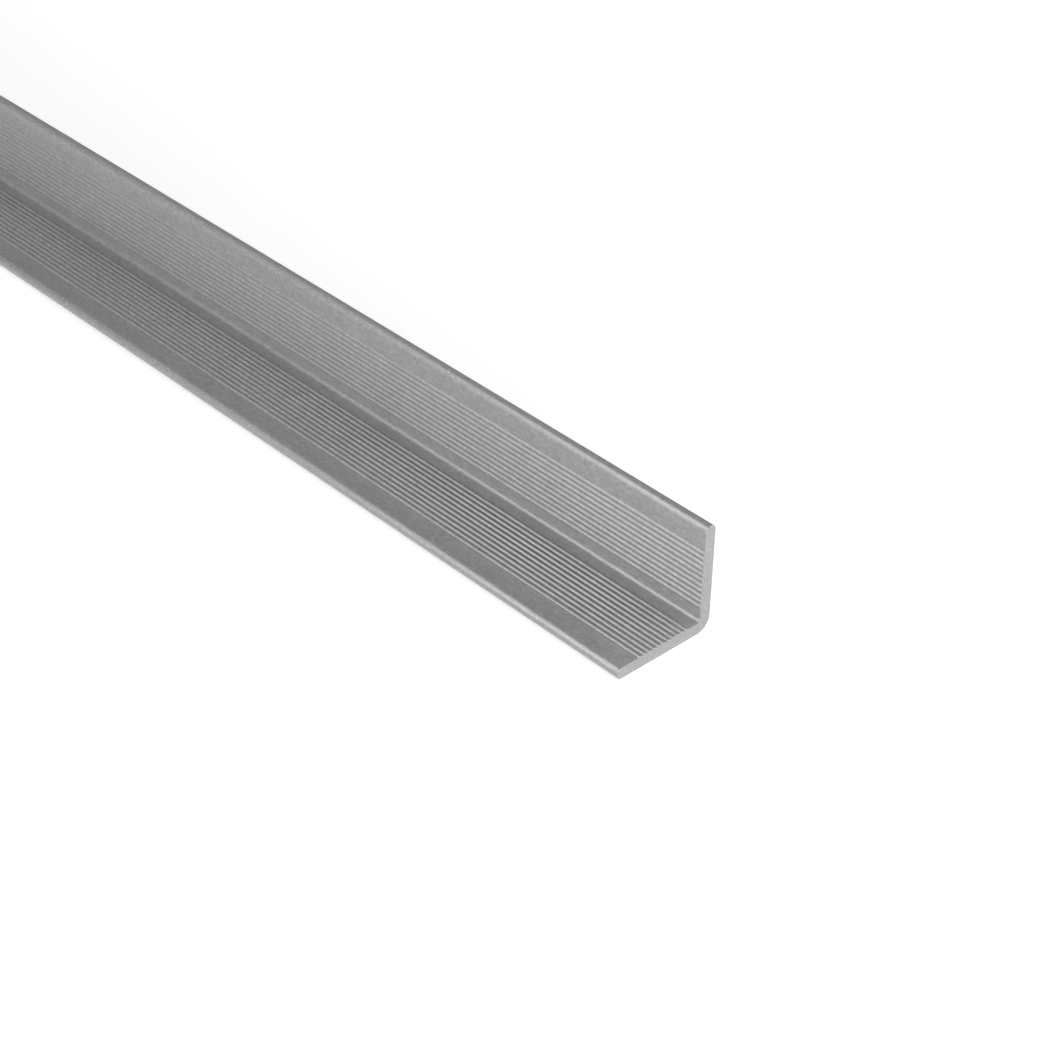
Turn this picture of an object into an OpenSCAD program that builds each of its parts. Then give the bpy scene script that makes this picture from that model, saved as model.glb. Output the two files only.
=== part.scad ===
// Angle trim extruded in wood-plastic composite.
// One solid length of an L section. The lying leg rests on its smooth outer face,
// the standing leg rises from its back edge, and both inner faces carry a band of
// low waves, which key the glue, between two plain strips. The tips are full round.
// The length runs along X, the open side faces -Y, and the origin is at the centre
// of the footprint, on the surface that the trim lies on.

/* [Stock] */
// Length of the trim
trim_length = 2000; // [300:10:4000]

/* [Section] */
// Width of the lying leg, from the outer corner to its tip
lying_leg_w = 40; // [30:0.5:80]
// Width of the standing leg, from the outer corner to its tip
standing_leg_w = 40; // [30:0.5:80]
// Wall thickness of both legs
wall = 4.2; // [3:0.1:8]
// Radius of the outer corner
outer_corner_r = 5.3; // [2:0.1:10]
// Radius of the fillet in the inner corner
inner_fillet_r = 1.5; // [0.5:0.1:4]

/* [Glue waves] */
// Spacing of the waves, crest to crest
wave_pitch = 2.03; // [1.6:0.01:5]
// Height of a crest above the plain strips
wave_h = 0.42; // [0.2:0.01:0.7]
// Plain strip between the inner corner and the first wave
fold_strip_w = 4.7; // [4:0.1:10]
// Least width of the plain strip between the last wave and the tip of the leg
tip_strip_w = 8.7; // [5:0.05:15]

/* [Hidden] */
$fn = 64;
trim_colour = "#8d8d8f";
// How far a shape reaches past the one that it cuts or joins
lap = 1;
// Room for rounding when whole waves are counted
count_slack = 0.001;
// The tip of a leg is a half circle as thick as the wall
tip_r = wall / 2;
// Radius of the arcs of a crest and of a valley, which meet halfway up the wave
wave_r = (pow(wave_pitch / 4, 2) + pow(wave_h / 2, 2)) / wave_h;
// How far the valleys go below the plain strips, so that each arc crosses the next
valley_dip = 0.01;
// Where the first wave starts, measured from the outer corner
band_start = wall + fold_strip_w;

// How many whole waves fit between the two plain strips of a leg
function wave_count(leg_w) =
    floor((leg_w - band_start - tip_strip_w) / wave_pitch + count_slack);

// A leg without waves that lies along +X, with its outer face on the X axis
module plain_leg(leg_w) {
    square([leg_w - tip_r, wall]);
    translate([leg_w - tip_r, tip_r])
        circle(tip_r);
}

// One leg with its band of waves: a slab half as high as the waves, less the valleys, plus the crests
module leg(leg_w) {
    difference() {
        union() {
            plain_leg(leg_w);
            translate([band_start, wall - lap])
                square([wave_count(leg_w) * wave_pitch, lap + wave_h / 2]);
        }
        for (i = [0 : wave_count(leg_w)])
            translate([band_start + i * wave_pitch, wall + wave_r - valley_dip])
                circle(wave_r);
    }
    for (i = [0 : wave_count(leg_w) - 1])
        translate([band_start + (i + 0.5) * wave_pitch, wall + wave_h - wave_r])
            circle(wave_r);
}

// The fillet in the inner corner, let into both legs behind it
module inner_fillet() {
    difference() {
        translate([wall - lap, wall - lap])
            square(inner_fillet_r + lap);
        translate([wall + inner_fillet_r, wall + inner_fillet_r])
            circle(inner_fillet_r);
    }
}

// What is cut away to round the outer corner, which is at the origin
module outer_corner_waste() {
    difference() {
        translate([-lap, -lap])
            square(outer_corner_r + lap);
        translate([outer_corner_r, outer_corner_r])
            circle(outer_corner_r);
    }
}

// The die's section: outer corner at the origin, lying leg along +X, standing leg along +Y
module angle_section() {
    difference() {
        union() {
            leg(lying_leg_w);
            mirror([1, -1])
                leg(standing_leg_w);
            inner_fillet();
        }
        outer_corner_waste();
    }
}

module angle_trim() {
    color(trim_colour)
        translate([-trim_length / 2, lying_leg_w / 2, 0])
            rotate([90, 0, 90])
                linear_extrude(height = trim_length)
                    mirror([1, 0])
                        angle_section();
}

angle_trim();
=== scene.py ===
# %% [markdown]
# # A grey composite angle trim
#
# The trim is a length of L-shaped stock, pressed out of a die as a hot mix of wood flour and
# plastic, then sawn square. It lies on one leg, with its inner side open to us. Each inner face
# has a band of low round waves that give adhesive something to hold. This lesson draws the die's
# section, pulls it out to length, and gives it the speckled, slightly shiny skin of the real
# material.

import math

import bmesh
import bpy
from mathutils import Matrix, Vector


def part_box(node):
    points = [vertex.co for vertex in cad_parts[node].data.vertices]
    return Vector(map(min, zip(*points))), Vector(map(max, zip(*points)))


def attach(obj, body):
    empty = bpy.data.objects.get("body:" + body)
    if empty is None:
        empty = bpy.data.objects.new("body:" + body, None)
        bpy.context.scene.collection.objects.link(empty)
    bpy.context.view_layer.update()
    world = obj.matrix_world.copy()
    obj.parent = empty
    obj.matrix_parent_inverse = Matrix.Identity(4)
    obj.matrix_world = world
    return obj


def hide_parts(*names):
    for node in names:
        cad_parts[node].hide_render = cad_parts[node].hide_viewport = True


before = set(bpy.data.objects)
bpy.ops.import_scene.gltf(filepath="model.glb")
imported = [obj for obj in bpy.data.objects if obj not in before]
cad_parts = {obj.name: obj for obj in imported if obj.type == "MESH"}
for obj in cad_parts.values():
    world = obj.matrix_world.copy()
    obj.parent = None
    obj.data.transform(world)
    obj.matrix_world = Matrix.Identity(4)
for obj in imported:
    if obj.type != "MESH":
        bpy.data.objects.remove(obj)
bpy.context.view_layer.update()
trim_low, trim_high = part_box("angle_trim")
print("the trim measures", [round(side, 4) for side in trim_high - trim_low])

# %% [markdown]
# ## Sizes
#
# Blender works in metres, and a section is easier to think about in millimetres, so every size
# is written as a number of millimetres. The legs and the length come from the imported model. The
# rest are the die's own sizes: its wall, its rounded corners and its waves.

# %% Sizes of the section
MM = 0.001
WALL = 4.2 * MM
OUTER_CORNER_R = 5.3 * MM
INNER_FILLET_R = 1.5 * MM
WAVE_PITCH = 2.03 * MM
WAVE_H = 0.42 * MM
FOLD_STRIP_W = 4.7 * MM
TIP_STRIP_W = 8.7 * MM

leg_w = trim_high.z - trim_low.z
length = trim_high.x - trim_low.x
tip_r = WALL / 2
print("each leg is", round(leg_w / MM, 2), "mm wide and ends in a radius of", tip_r / MM, "mm")

# %% [markdown]
# A wave is made of arcs of one radius, which follows from the pitch and the height. As many
# whole waves as fit go between the two plain strips of a leg, and the strip at the tip takes
# up what is left over.

# %% Sizes of the waves
COUNT_SLACK = 0.001

wave_r = ((WAVE_PITCH / 4) ** 2 + (WAVE_H / 2) ** 2) / WAVE_H
flank_angle = math.asin(WAVE_PITCH / 4 / wave_r)
inner_w = leg_w - WALL
wave_count = math.floor((inner_w - FOLD_STRIP_W - TIP_STRIP_W) / WAVE_PITCH + COUNT_SLACK)
last_strip_w = inner_w - FOLD_STRIP_W - wave_count * WAVE_PITCH
print("waves on each leg:", wave_count)
print("their flanks rise at up to", round(math.degrees(flank_angle)), "degrees")

# %% [markdown]
# ## Camera
#
# The trim runs away from us to the upper left, so the camera stands off its near end, to the
# open side and above it. A long lens keeps the edges nearly parallel. The place is measured
# from the near end of the outer corner, and the three angles tip, lean and turn the camera.

# %% Camera
LENS_MM = 90.957
SENSOR_MM = 36
CAMERA_FROM_CORNER = Vector((434.7, -492.6, 503.5)) * MM
CAMERA_TURN = (54.551, -0.979, 47.167)

near_corner = Vector((trim_high.x, trim_high.y, trim_low.z))
camera_data = bpy.data.cameras.new("camera")
camera_data.lens = LENS_MM
camera_data.sensor_width = SENSOR_MM
camera = bpy.data.objects.new("camera", camera_data)
camera.location = near_corner + CAMERA_FROM_CORNER
camera.rotation_euler = [math.radians(angle) for angle in CAMERA_TURN]
bpy.context.scene.collection.objects.link(camera)
bpy.context.scene.camera = camera
print("camera stands at", [round(c, 3) for c in camera.location])

# %% [markdown]
# ## The die's section
#
# The outline is nothing but straight strokes and arcs, so it is drawn the way a plotter would:
# a pen carries one vertex along. A straight stroke extrudes that vertex and slides the copy
# forward. A round stroke spins it about a centre beside the pen, which gives a true arc with no
# points to work out by hand. The pen goes round the shape with the material on its right.

# %% A pen that draws with operators
ALONG = Vector((1, 0, 0))
QUARTER = math.pi / 2


class SectionPen:
    """Draws an outline in a plane across the trim, with the material on its right."""

    def __init__(self, bm, start, heading):
        self.bm = bm
        self.tip = bm.verts.new(start)
        self.heading = Vector(heading)

    def turn(self, angle):
        """Turns on the spot, to the right for a positive angle."""
        self.heading.rotate(Matrix.Rotation(-angle, 3, ALONG))

    def straight(self, distance):
        """Extrudes the vertex at the pen's tip and slides it forward."""
        self.tip = bmesh.ops.extrude_vert_indiv(self.bm, verts=[self.tip])["verts"][0]
        bmesh.ops.translate(self.bm, verts=[self.tip], vec=self.heading * distance)

    def bend(self, radius, angle, steps):
        """Spins the vertex at the pen's tip along an arc, to the right for a positive angle."""
        side = Matrix.Rotation(-math.copysign(QUARTER, angle), 3, ALONG) @ self.heading
        made = bmesh.ops.spin(
            self.bm, geom=[self.tip], cent=self.tip.co + side * radius, axis=ALONG,
            angle=-angle, steps=steps, use_duplicate=False)
        self.tip = next(v for v in made["geom_last"] if isinstance(v, bmesh.types.BMVert))
        self.turn(angle)


print("the pen draws round a plane across", tuple(ALONG))

# %% [markdown]
# The two legs are alike, so what they share is written once: a band of waves. Each wave is a
# bend up out of the face, a bend twice as long over the crest, and a bend back into the face.

# %% A band of waves
WAVE_STEPS = 6


def draw_wave_band(pen):
    """A row of waves that starts and ends level with the plain strips."""
    for _ in range(wave_count):
        pen.bend(wave_r, -flank_angle, WAVE_STEPS)
        pen.bend(wave_r, 2 * flank_angle, 2 * WAVE_STEPS)
        pen.bend(wave_r, -flank_angle, WAVE_STEPS)


print("a band of waves is", round(wave_count * WAVE_PITCH / MM, 2), "mm wide")

# %% [markdown]
# The pen sets off under the lying leg, beside the outer corner. It follows the underside, goes
# round the tip and comes back over the waves to the fold. Then it climbs the standing leg, goes
# round that tip and down the back, and closes the outer corner.

# %% Draw the section
TIP_STEPS = 20
FILLET_STEPS = 10
CORNER_STEPS = 16

bm = bmesh.new()
start = Vector((trim_low.x, trim_high.y - OUTER_CORNER_R, trim_low.z))
pen = SectionPen(bm, start, heading=(0, -1, 0))
pen.straight(leg_w - OUTER_CORNER_R - tip_r)
pen.bend(tip_r, 2 * QUARTER, TIP_STEPS)
pen.straight(last_strip_w - tip_r)
draw_wave_band(pen)
pen.straight(FOLD_STRIP_W - INNER_FILLET_R)
pen.bend(INNER_FILLET_R, -QUARTER, FILLET_STEPS)
pen.straight(FOLD_STRIP_W - INNER_FILLET_R)
draw_wave_band(pen)
pen.straight(last_strip_w - tip_r)
pen.bend(tip_r, 2 * QUARTER, TIP_STEPS)
pen.straight(leg_w - OUTER_CORNER_R - tip_r)
pen.bend(OUTER_CORNER_R, QUARTER, CORNER_STEPS)
print("the pen ends", round((pen.tip.co - start).length / MM, 6), "mm from where it started")

# %% [markdown]
# The last point lies on the first, so welding the two closes the loop, and one face fills it.

# %% Close the outline
WELD = 0.001 * MM

bmesh.ops.remove_doubles(bm, verts=bm.verts[:], dist=WELD)
bmesh.ops.contextual_create(bm, geom=bm.edges[:])
print("the outline has", len(bm.verts), "points and", len(bm.faces), "face")

# %% [markdown]
# ## Pulling the section out to length
#
# One extrusion makes the whole bar. It is then cut across every few centimetres, because very
# long thin faces shade badly and bake badly.

# %% Extrude the bar
STRETCH = 40 * MM

stretches = round(length / STRETCH)
pulled = bmesh.ops.extrude_face_region(bm, geom=bm.faces[:])
pulled_verts = [v for v in pulled["geom"] if isinstance(v, bmesh.types.BMVert)]
bmesh.ops.translate(bm, verts=pulled_verts, vec=ALONG * length)
for i in range(1, stretches):
    bmesh.ops.bisect_plane(
        bm, geom=bm.verts[:] + bm.edges[:] + bm.faces[:],
        plane_co=(trim_low.x + i * STRETCH, 0, 0), plane_no=ALONG)
bmesh.ops.recalc_face_normals(bm, faces=bm.faces[:])
print("the bar is", round(length, 3), "m long, in", stretches, "stretches")

# %% [markdown]
# The skin and the sawn ends will have a material each, so every face is given the number of its
# slot. All faces are shaded smooth, and the edges where the saw cut meets the skin stay sharp.

# %% Tell the skin from the sawn ends
SKIN, SAWN = 0, 1
FACES_ALONG = 0.5
SHARP_CORNER = math.radians(35)

for face in bm.faces:
    face.smooth = True
    face.material_index = SAWN if abs(face.normal.x) > FACES_ALONG else SKIN
for edge in bm.edges:
    edge.smooth = edge.calc_face_angle(0) < SHARP_CORNER
print("sawn faces:", sum(face.material_index == SAWN for face in bm.faces))
print("sharp edges:", sum(not edge.smooth for edge in bm.edges))

# %% [markdown]
# The mesh becomes an object that rides on the part's only body and takes the place of the plain
# packed bar. A Weighted Normal modifier keeps the flat strips flat right up to the curves.

# %% Put the bar in the scene
mesh = bpy.data.meshes.new("composite_angle")
bm.to_mesh(mesh)
bm.free()
trim = bpy.data.objects.new("composite_angle", mesh)
bpy.context.scene.collection.objects.link(trim)
weighted = trim.modifiers.new("flat faces stay flat", "WEIGHTED_NORMAL")
weighted.keep_sharp = True
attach(trim, "root")
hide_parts("angle_trim")
print("the bar has", len(mesh.polygons), "faces")

# %% [markdown]
# ## Shader nodes without the clutter
#
# Both materials below are small node trees. One helper adds a node, sets its own settings, and
# then sets or links each input that is named. It keeps each tree short enough to read from top
# to bottom, in the order in which the values flow.

# %% Helpers that add and wire nodes
def add_node(tree, kind, inputs=None, **settings):
    """Adds a node; an input's value is either a constant or the socket that feeds it."""
    node = tree.nodes.new(kind)
    for name, value in settings.items():
        setattr(node, name, value)
    for name, value in (inputs or {}).items():
        if isinstance(value, bpy.types.NodeSocket):
            tree.links.new(value, node.inputs[name])
        else:
            node.inputs[name].default_value = value
    return node


def add_math(tree, operation, *values):
    """Adds a maths node over one, two or three values, and returns its output."""
    node = add_node(tree, "ShaderNodeMath", dict(enumerate(values)), operation=operation)
    return node.outputs[0]


def centred(tree, value, amount):
    """Turns a noise value, which swings about one half, into a swing about nought."""
    return add_math(tree, "MULTIPLY", add_math(tree, "SUBTRACT", value, 0.5), amount)


print("helpers ready:", add_node.__name__, add_math.__name__, centred.__name__)

# %% [markdown]
# ## The speckle of wood flour
#
# The mix is about half ground wood, so its grey is never even: grains of a millimetre or less
# lie a little lighter or darker, drawn out along the length by the flow through the die, over a
# broader, weaker mottle. The skin and the sawn ends show the same grains, so the speckle is a
# node group that both materials use. Two noises set its tone.

# %% Speckle group: tone
GRAINS_PER_M = 1300
GRAIN_DETAIL = 3
GRAIN_ROUGHNESS = 0.6
GRAIN_SWING = 1.0
MOTTLES_PER_M = 70
MOTTLE_DETAIL = 2
MOTTLE_SWING = 0.16
FLOW = (0.5, 1, 1)

speckle = bpy.data.node_groups.new("wood_flour_speckle", "ShaderNodeTree")
for output in ("Tone", "Chips", "Grain"):
    speckle.interface.new_socket(output, in_out="OUTPUT", socket_type="NodeSocketFloat")

place = add_node(speckle, "ShaderNodeTexCoord").outputs["Object"]
drawn_out = add_node(
    speckle, "ShaderNodeMapping", {"Vector": place, "Scale": FLOW}).outputs["Vector"]
grain = add_node(
    speckle, "ShaderNodeTexNoise",
    {"Vector": drawn_out, "Scale": GRAINS_PER_M, "Detail": GRAIN_DETAIL,
     "Roughness": GRAIN_ROUGHNESS}).outputs["Fac"]
mottle = add_node(
    speckle, "ShaderNodeTexNoise",
    {"Vector": drawn_out, "Scale": MOTTLES_PER_M, "Detail": MOTTLE_DETAIL}).outputs["Fac"]
grain_tone = centred(speckle, grain, GRAIN_SWING)
mottle_tone = centred(speckle, mottle, MOTTLE_SWING)
tone = add_math(speckle, "ADD", 1.0, add_math(speckle, "ADD", grain_tone, mottle_tone))
print("a grain is about", round(1 / GRAINS_PER_M / MM, 1), "mm across")

# %% [markdown]
# Small pale chips also reach the surface. Voronoi cells scatter them: each cell has a random
# colour, and its red decides by lot whether the cell holds a chip. The distance from the cell's
# heart draws the chip, full at the heart and fading to its rim.

# %% Speckle group: chips
CHIPS_PER_M = 900
CHIP_HEART = 0.08
CHIP_RIM = 0.26
LOT_TO_BEAT = 0.8

cells = add_node(speckle, "ShaderNodeTexVoronoi", {"Vector": drawn_out, "Scale": CHIPS_PER_M})
in_chip = add_node(
    speckle, "ShaderNodeMapRange",
    {"Value": cells.outputs["Distance"], "From Min": CHIP_RIM,
     "From Max": CHIP_HEART}).outputs["Result"]
lot = add_node(
    speckle, "ShaderNodeSeparateColor", {"Color": cells.outputs["Color"]}).outputs["Red"]
chosen = add_math(speckle, "GREATER_THAN", lot, LOT_TO_BEAT)
chips = add_math(speckle, "MULTIPLY", in_chip, chosen)
add_node(speckle, "NodeGroupOutput", {"Tone": tone, "Chips": chips, "Grain": grain})
print("the speckle group gives", [s.name for s in speckle.interface.items_tree])

# %% [markdown]
# ## Two materials
#
# Both materials start in the same way: the grey of the mix, made lighter and darker by the
# speckle's tone, with the pale chips mixed in.

# %% The speckled mix
COMPOSITE = (0.265, 0.265, 0.27, 1)
PALE_CHIP = (0.46, 0.46, 0.45, 1)
BUMP_DEPTH = 0.05 * MM


def start_material(name):
    """Makes a node material with the speckled colour already on its shader."""
    material = bpy.data.materials.new(name)
    material.use_nodes = True
    tree = material.node_tree
    shader = tree.nodes["Principled BSDF"]
    flour = add_node(tree, "ShaderNodeGroup", node_tree=speckle)
    toned = add_node(
        tree, "ShaderNodeVectorMath", {0: COMPOSITE[:3], "Scale": flour.outputs["Tone"]},
        operation="SCALE").outputs["Vector"]
    mixed = add_node(
        tree, "ShaderNodeMix",
        {"Factor": flour.outputs["Chips"], "A": toned, "B": PALE_CHIP}, data_type="RGBA")
    tree.links.new(mixed.outputs["Result"], shader.inputs["Base Color"])
    return material, tree, shader, flour


print("the mix is a grey of", COMPOSITE[:3])

# %% [markdown]
# The skin left the die under pressure, so it is dense, with a low sheen and faint lines along
# the length where the die has scored it. The lines come from a noise whose X is squeezed nearly
# flat, so that it hardly changes along the trim. They only stir the sheen and the bump, because
# the real ones show as broken light and not as colour.

# %% The skin
SKIN_SHEEN = 1.0
SKIN_ROUGHNESS = 0.3
SKIN_BUMP = 0.25
SCORES_PER_M = 1300
SCORE_SQUEEZE = (0.012, 1, 1)
SCORE_ROUGHNESS = 0.1
SCORE_RELIEF = 0.6

skin, tree, shader, flour = start_material("extruded_composite")
place = add_node(tree, "ShaderNodeTexCoord").outputs["Object"]
squeezed = add_node(
    tree, "ShaderNodeMapping", {"Vector": place, "Scale": SCORE_SQUEEZE}).outputs["Vector"]
scores = add_node(
    tree, "ShaderNodeTexNoise",
    {"Vector": squeezed, "Scale": SCORES_PER_M, "Detail": 2}).outputs["Fac"]
roughness = add_math(tree, "ADD", SKIN_ROUGHNESS, centred(tree, scores, SCORE_ROUGHNESS))
score_relief = add_math(tree, "MULTIPLY", scores, SCORE_RELIEF)
relief = add_math(tree, "ADD", flour.outputs["Grain"], score_relief)
bump = add_node(
    tree, "ShaderNodeBump", {"Height": relief, "Strength": SKIN_BUMP, "Distance": BUMP_DEPTH})
shader.inputs["Specular IOR Level"].default_value = SKIN_SHEEN
tree.links.new(roughness, shader.inputs["Roughness"])
tree.links.new(bump.outputs["Normal"], shader.inputs["Normal"])
mesh.materials.append(skin)
print("the skin has", len(tree.nodes), "nodes")

# %% [markdown]
# The ends were sawn, so the same mix is open and matt there, and the blade has left fine marks
# across it. A noise stretched along the blade's path and fine across it stands for the marks.

# %% The sawn ends
SAWN_ROUGHNESS = 0.55
SAWN_BUMP = 0.3
MARKS_PER_M = 900
MARK_STRETCH = (1, 0.05, 1)
BLADE_LEAN = (math.radians(20), 0, 0)

sawn, tree, shader, flour = start_material("sawn_composite")
place = add_node(tree, "ShaderNodeTexCoord").outputs["Object"]
along_blade = add_node(
    tree, "ShaderNodeMapping",
    {"Vector": place, "Rotation": BLADE_LEAN, "Scale": MARK_STRETCH}).outputs["Vector"]
marks = add_node(
    tree, "ShaderNodeTexNoise",
    {"Vector": along_blade, "Scale": MARKS_PER_M, "Detail": 2}).outputs["Fac"]
relief = add_math(tree, "ADD", flour.outputs["Grain"], marks)
bump = add_node(
    tree, "ShaderNodeBump", {"Height": relief, "Strength": SAWN_BUMP, "Distance": BUMP_DEPTH})
shader.inputs["Roughness"].default_value = SAWN_ROUGHNESS
tree.links.new(bump.outputs["Normal"], shader.inputs["Normal"])
mesh.materials.append(sawn)
print("materials on the bar:", [m.name for m in mesh.materials])

# %% [markdown]
# ## Floor
#
# The trim is shown on white, so it lies on a plain floor that reaches far past it. One grid face
# is enough, because nothing about the floor bends.

# %% Floor
FLOOR_REACH = 20

bm = bmesh.new()
bmesh.ops.create_grid(bm, x_segments=1, y_segments=1, size=FLOOR_REACH)
floor_mesh = bpy.data.meshes.new("floor")
bm.to_mesh(floor_mesh)
bm.free()
floor = bpy.data.objects.new("floor", floor_mesh)
bpy.context.scene.collection.objects.link(floor)
print("the floor is", round(floor.dimensions.x), "m wide")

# %% [markdown]
# A white floor in this light would render as a light grey. So the floor also glows a little, but
# only where the camera sees it, straight on or mirrored in the sheen of the standing leg. The
# Light Path node tells it which rays those are. The glow doesn't light the trim as a lamp would,
# and the soft shadow still shows.

# %% White paper
WHITE = (1, 1, 1, 1)
PAPER = (0.8, 0.8, 0.8, 1)
PAPER_ROUGHNESS = 0.9
FLOOR_GLOW = 0.43

paper = bpy.data.materials.new("white_floor")
paper.use_nodes = True
tree = paper.node_tree
shader = tree.nodes["Principled BSDF"]
shader.inputs["Base Color"].default_value = PAPER
shader.inputs["Roughness"].default_value = PAPER_ROUGHNESS
shader.inputs["Specular IOR Level"].default_value = 0
shader.inputs["Emission Color"].default_value = WHITE
rays = add_node(tree, "ShaderNodeLightPath").outputs
seen = add_math(tree, "MAXIMUM", rays["Is Camera Ray"], rays["Is Glossy Ray"])
glow = add_math(tree, "MULTIPLY", seen, FLOOR_GLOW)
tree.links.new(glow, shader.inputs["Emission Strength"])
floor_mesh.materials.append(paper)
print("the floor glows at", FLOOR_GLOW, "of white where it is seen")

# %% [markdown]
# ## Light
#
# Two small softboxes to the left of the open side draw the bright line along each wave, along
# the fold and along the round tips. They are small, so the lines fade away from the near end,
# where the trim no longer mirrors them. Large softboxes off the near end light the sawn face
# and the standing leg, and weaker ones behind fill the far slopes of the waves and the closed
# side. The last of these is kept out of reflections, because it would draw a white rim along the
# top edge.

# %% Lights
LIGHT_AWAY = 2.0

near_end = Vector((trim_high.x, 0, leg_w / 2))


def softbox(name, turn, climb, size, power):
    """A square light at a turn from +X and a climb from the floor, aimed at the near end."""
    climbed = Matrix.Rotation(math.radians(-climb), 3, "Y") @ ALONG
    away = Matrix.Rotation(math.radians(turn), 3, "Z") @ climbed
    data = bpy.data.lights.new(name, "AREA")
    data.size = size
    data.energy = power
    lamp = bpy.data.objects.new(name, data)
    lamp.location = near_end + away * LIGHT_AWAY
    lamp.rotation_euler = (-away).to_track_quat("-Z", "Y").to_euler()
    bpy.context.scene.collection.objects.link(lamp)
    print(name, "stands at", [round(c, 2) for c in lamp.location])
    return lamp


softbox("line light, low", turn=-123, climb=15, size=0.45, power=8.6)
softbox("line light, high", turn=-136, climb=41, size=0.45, power=7.9)
softbox("end softbox", turn=-30, climb=10, size=0.9, power=48)
softbox("end softbox, high", turn=0, climb=40, size=0.9, power=12)
softbox("back softbox", turn=60, climb=30, size=1.0, power=9)
softbox("back softbox, high", turn=45, climb=60, size=0.8, power=8.2)
far_side = softbox("far softbox", turn=146, climb=13, size=0.8, power=8)
far_side.visible_glossy = False

# %% [markdown]
# The world looks white to the camera, as the floor does, but it lights the trim only a little.
# The larger of two strengths does both: one for the rays that come from the camera, and a small
# one for the rest.

# %% The world
WORLD_LIGHT = 0.05

world = bpy.data.worlds.new("white studio")
world.use_nodes = True
tree = world.node_tree
seen = add_node(tree, "ShaderNodeLightPath").outputs["Is Camera Ray"]
backdrop = tree.nodes["Background"]
backdrop.inputs["Color"].default_value = WHITE
tree.links.new(add_math(tree, "MAXIMUM", seen, WORLD_LIGHT), backdrop.inputs["Strength"])
bpy.context.scene.world = world
print("the world lights the trim at", WORLD_LIGHT, "of white")

# %% [markdown]
#
# Last, the view transform is set to Standard, so that no film curve reshapes the colours.

# %% Finish
bpy.context.scene.view_settings.view_transform = "Standard"
